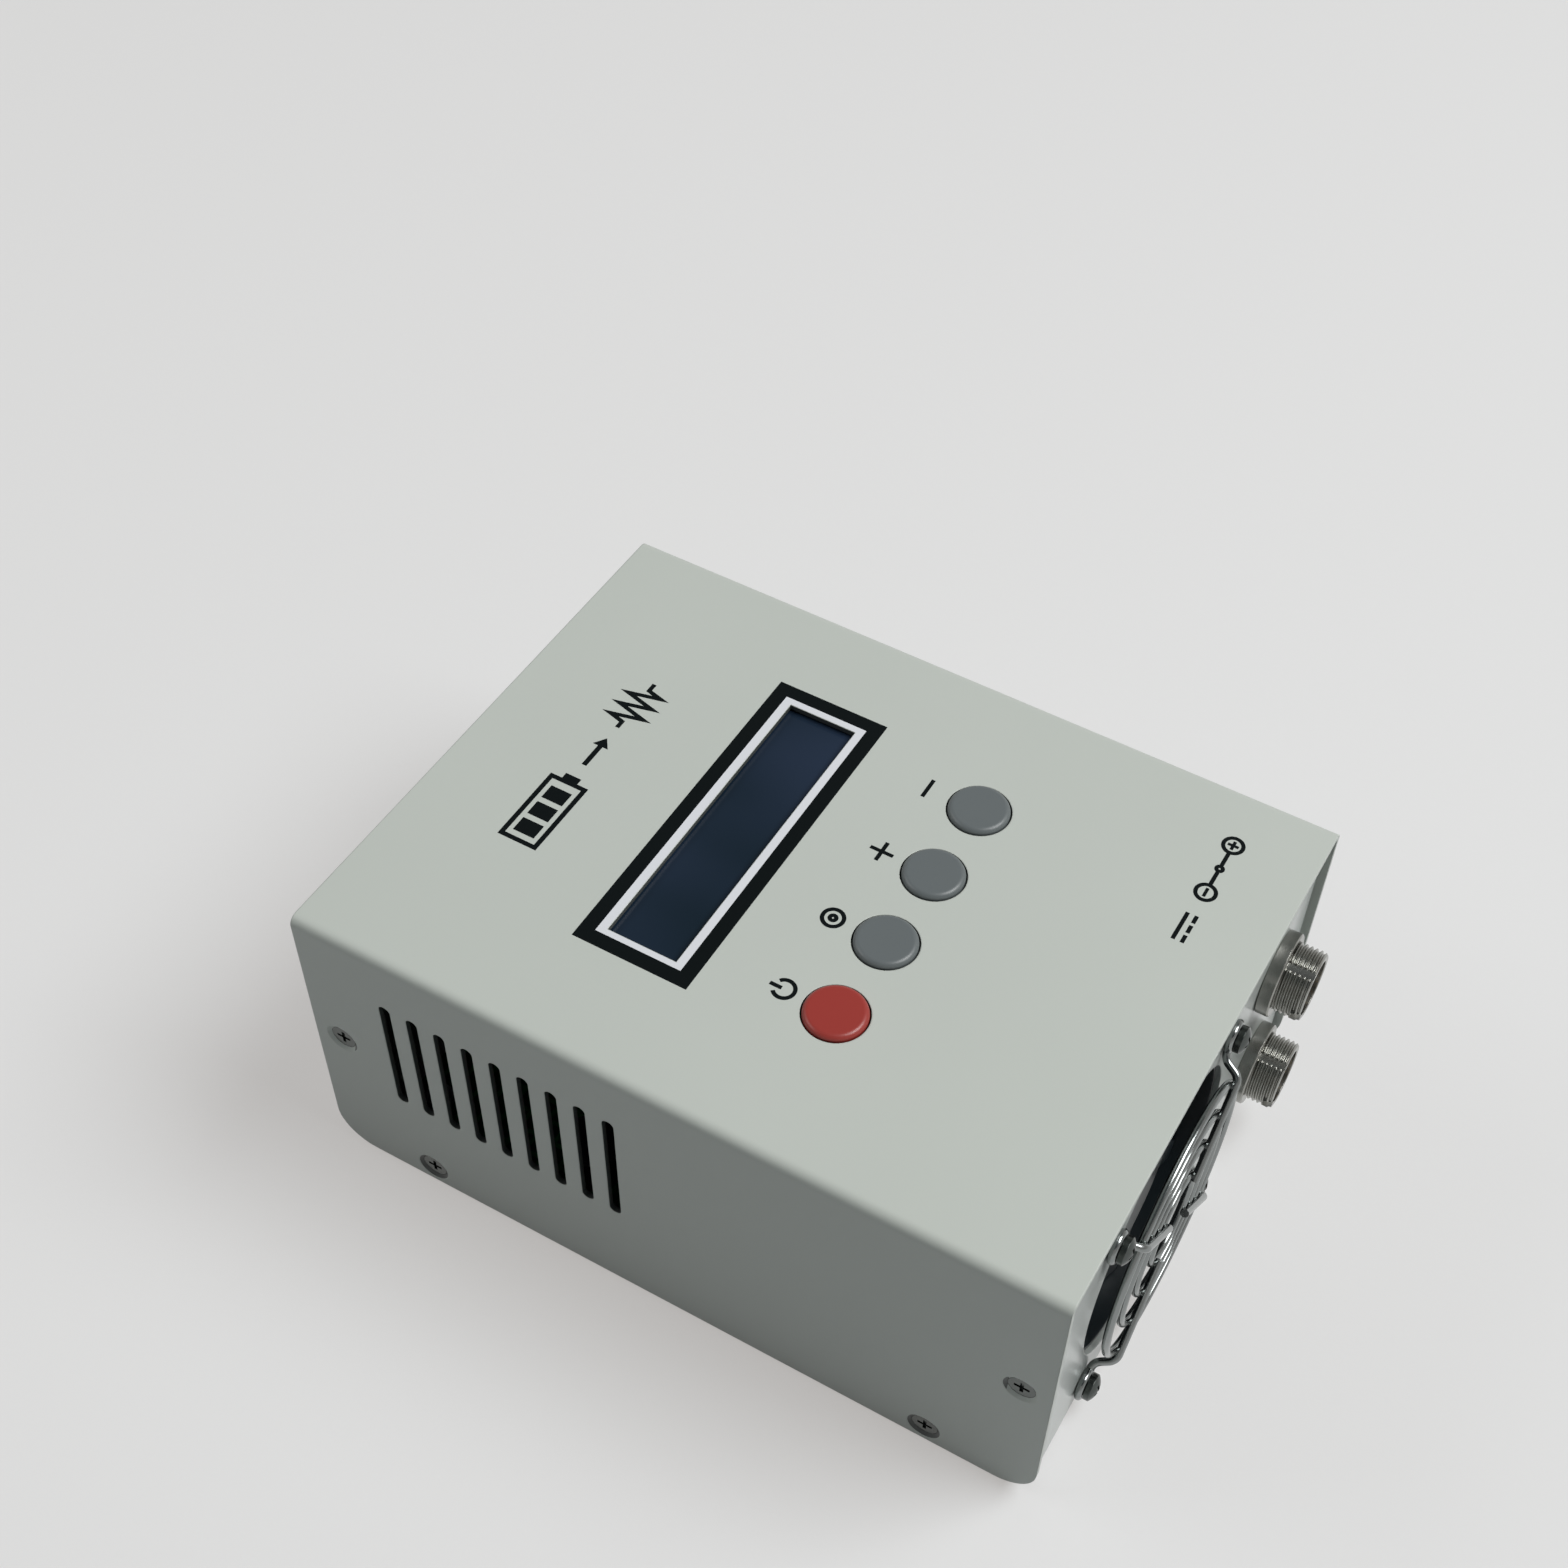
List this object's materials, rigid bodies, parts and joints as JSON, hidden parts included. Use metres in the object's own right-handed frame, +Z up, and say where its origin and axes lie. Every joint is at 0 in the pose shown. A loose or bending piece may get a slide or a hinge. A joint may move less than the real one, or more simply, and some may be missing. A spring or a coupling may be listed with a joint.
{
  "type": "dc electronic load",
  "caption": "Fan-cooled DC electronic load in a folded steel case, with a character display, push buttons, side vents, a guarded fan and threaded round sockets.",
  "frame": {"origin": "under the middle of the case, on the plane it stands on", "axes": "+X to the right, +Y to the back, away from the fan and sockets, +Z up"},
  "size_m": [0.117, 0.162, 0.07],
  "materials": {
    "case_paint": "light grey powder coat, satin",
    "plated_steel": "nickel plate",
    "bright_chrome": "bright chrome plate",
    "white_nylon": "natural nylon",
    "bezel_black": "black stamped steel",
    "display_glass": "dark blue display glass, unlit",
    "light_guide": "diffuser",
    "circuit_board": "green solder mask",
    "black_plastic": "black moulded plastic",
    "ribbon_grey": "grey ribbon cable",
    "cap_red": "red moulded cap",
    "cap_grey": "grey moulded cap",
    "ferrite": "bonded magnet",
    "copper_wire": "enamelled copper and bronze",
    "lead_sheath": "wire insulation",
    "gold_contacts": "gold plated contacts",
    "plug_ivory": "nylon plug housings",
    "sink_aluminium": "extruded aluminium",
    "thermal_pad": "silicone pad",
    "can_sleeve": "shrink sleeve",
    "relay_blue": "moulded cover"
  },
  "bodies": {
    "case": {"cover": "case_paint", "chassis": "case_paint", "clinch_nuts": "plated_steel", "cover_screws": "plated_steel", "cover_studs": "plated_steel", "stud_nuts": "plated_steel", "board_spacers": "white_nylon", "lcd_bezel": "bezel_black", "lcd_glass": "display_glass", "lcd_backlight": "light_guide", "lcd_board": "circuit_board", "lcd_header": "black_plastic", "lcd_cable": "ribbon_grey", "key_switches": "black_plastic", "switch_domes": "plated_steel", "key_board": "circuit_board", "key_cable": "ribbon_grey", "fan_frame": "black_plastic", "fan_stator": "plated_steel", "fan_coils": "copper_wire", "fan_bearing": "copper_wire", "fan_driver_board": "circuit_board", "fan_guard": "bright_chrome", "fan_screws": "plated_steel", "fan_nuts": "plated_steel", "fan_lead": "lead_sheath", "upper_shell": "bright_chrome", "lower_shell": "bright_chrome", "socket_inserts": "black_plastic", "socket_pins": "gold_contacts", "socket_washers": "plated_steel", "socket_nuts": "plated_steel", "load_leads": "lead_sheath", "supply_leads": "lead_sheath", "main_board": "circuit_board", "standoffs": "plated_steel", "board_screws": "plated_steel", "board_sockets": "plug_ivory", "heat_sink": "sink_aluminium", "power_transistors": "black_plastic", "transistor_pads": "thermal_pad", "transistor_screws": "plated_steel", "filter_capacitors": "can_sleeve", "power_inductor": "copper_wire", "relay": "relay_blue", "current_shunt": "copper_wire", "control_chip": "black_plastic", "buzzer": "black_plastic"},
    "fan_spinner": {"fan_rotor": "black_plastic", "fan_shaft": "plated_steel", "fan_magnet": "ferrite"},
    "on_key": {"on_button": "cap_red", "on_stem": "black_plastic"},
    "set_key": {"set_button": "cap_grey", "set_stem": "black_plastic"},
    "up_key": {"up_button": "cap_grey", "up_stem": "black_plastic"},
    "down_key": {"down_button": "cap_grey", "down_stem": "black_plastic"}
  },
  "joints": [
    {"name": "fan_spin", "type": "hinge", "parent": "case", "child": "fan_spinner", "pos_m": [-0.012, -0.0624, 0.0322], "axis": [0, 1, 0], "continuous": true},
    {"name": "on_press", "type": "slide", "parent": "case", "child": "on_key", "axis": [0, 0, -1], "range_m": [0, 0.0004], "stiffness_N_per_m": 400},
    {"name": "set_press", "type": "slide", "parent": "case", "child": "set_key", "axis": [0, 0, -1], "range_m": [0, 0.0004], "stiffness_N_per_m": 400},
    {"name": "up_press", "type": "slide", "parent": "case", "child": "up_key", "axis": [0, 0, -1], "range_m": [0, 0.0004], "stiffness_N_per_m": 400},
    {"name": "down_press", "type": "slide", "parent": "case", "child": "down_key", "axis": [0, 0, -1], "range_m": [0, 0.0004], "stiffness_N_per_m": 400}
  ]
}
